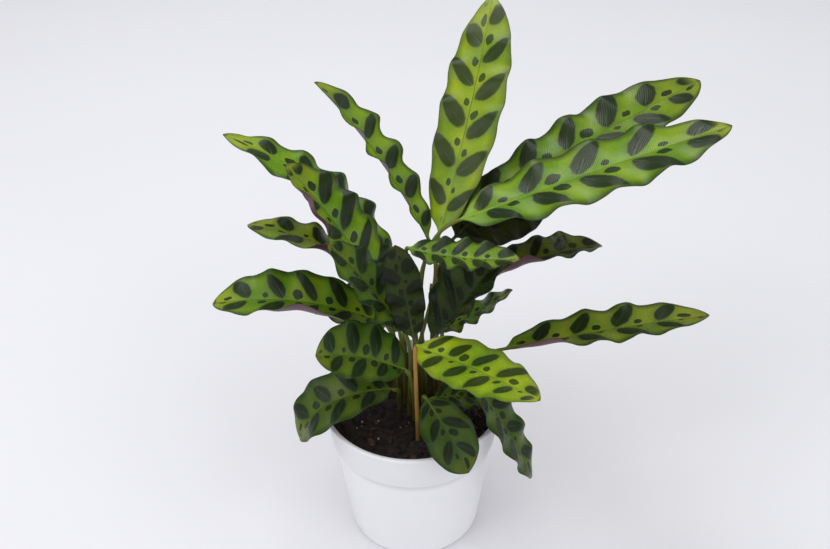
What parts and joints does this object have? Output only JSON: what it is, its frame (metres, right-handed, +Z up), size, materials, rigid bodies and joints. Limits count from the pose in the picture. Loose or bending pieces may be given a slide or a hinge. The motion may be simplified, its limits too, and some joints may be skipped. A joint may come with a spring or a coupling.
{
  "type": "rattlesnake plant in a nursery pot",
  "caption": "Potted rattlesnake plant: long lance-shaped leaves with wavy margins, dark oval markings and purple undersides, on slim stalks in a plain white nursery pot.",
  "frame": {"origin": "centre of the pot's underside, on the surface it stands on", "axes": "+Z up, -Y toward the plant's front, +X to the right when it is seen from the front"},
  "size_m": [0.4061, 0.2915, 0.4046],
  "materials": {
    "pot": "white moulded polypropylene, satin",
    "soil": "moist peat mix with bark and perlite",
    "leaf_lime": "yellow-green blade with dark oval markings, satin; purple beneath",
    "leaf_green": "mid-green blade with dark oval markings, satin; purple beneath",
    "leaf_dark": "deep green blade with dark oval markings, satin; purple beneath",
    "leaf_olive": "olive-green blade with dark oval markings, satin; purple beneath"
  },
  "bodies": {
    "root": {"pot": "pot", "soil": "soil", "leaf_01": "leaf_lime", "leaf_02": "leaf_green", "leaf_03": "leaf_green", "leaf_04": "leaf_green", "leaf_05": "leaf_green", "leaf_06": "leaf_green", "leaf_07": "leaf_olive", "leaf_08": "leaf_dark", "leaf_09": "leaf_green", "leaf_10": "leaf_dark", "leaf_11": "leaf_dark", "leaf_12": "leaf_lime", "leaf_13": "leaf_dark", "leaf_14": "leaf_dark", "leaf_15": "leaf_olive", "leaf_16": "leaf_green", "leaf_17": "leaf_olive", "leaf_18": "leaf_green", "leaf_19": "leaf_olive", "leaf_20": "leaf_dark", "leaf_21": "leaf_dark", "leaf_22": "leaf_dark", "leaf_23": "leaf_olive", "leaf_24": "leaf_green", "leaf_25": "leaf_green", "leaf_26": "leaf_green"}
  },
  "joints": []
}
